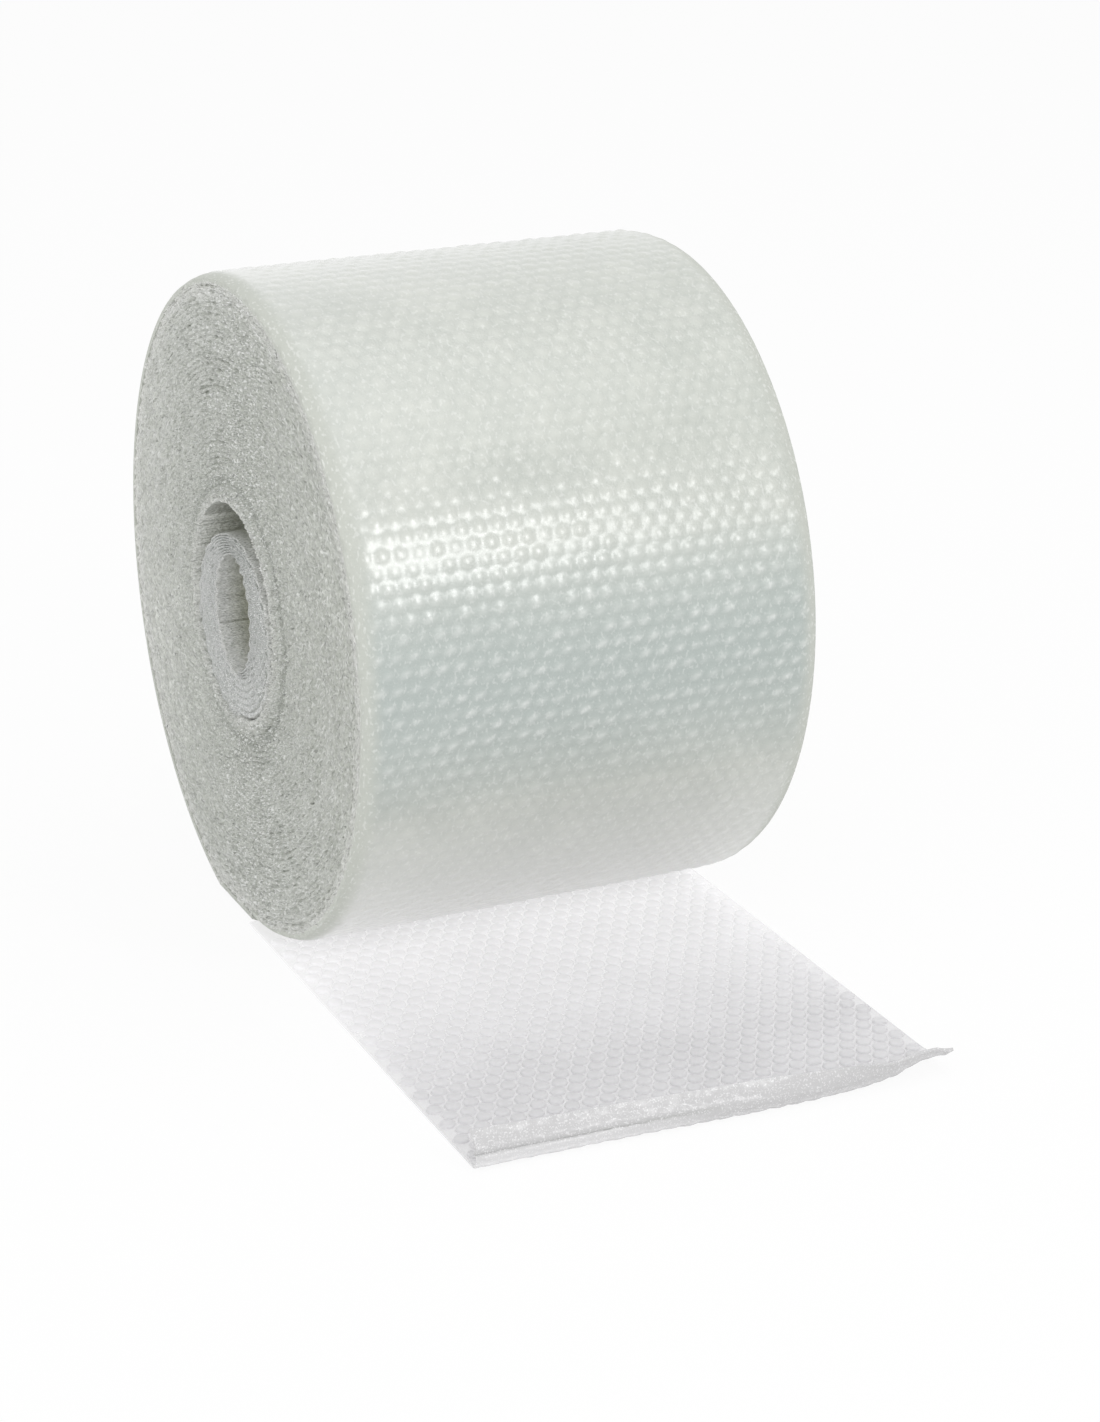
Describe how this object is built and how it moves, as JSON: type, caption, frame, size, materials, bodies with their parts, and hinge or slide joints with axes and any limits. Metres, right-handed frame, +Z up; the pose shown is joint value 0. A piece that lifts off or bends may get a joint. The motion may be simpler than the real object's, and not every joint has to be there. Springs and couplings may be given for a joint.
{
  "type": "bubble film roll",
  "caption": "Coreless roll of small-bubble cushioning film on its side, loose end pulled out and turned up at the tip.",
  "frame": {"origin": "on the floor under the roll's axis, at the middle of the film's width", "axes": "+X along the roll's axis, -Y towards the loose end, +Z up"},
  "size_m": [0.3048, 0.5909, 0.4256],
  "materials": {
    "clear_film": "milky clear polyethylene film with small air bubbles, soft sheen"
  },
  "bodies": {
    "root": {"bubble_film_roll": "clear_film"}
  },
  "joints": []
}
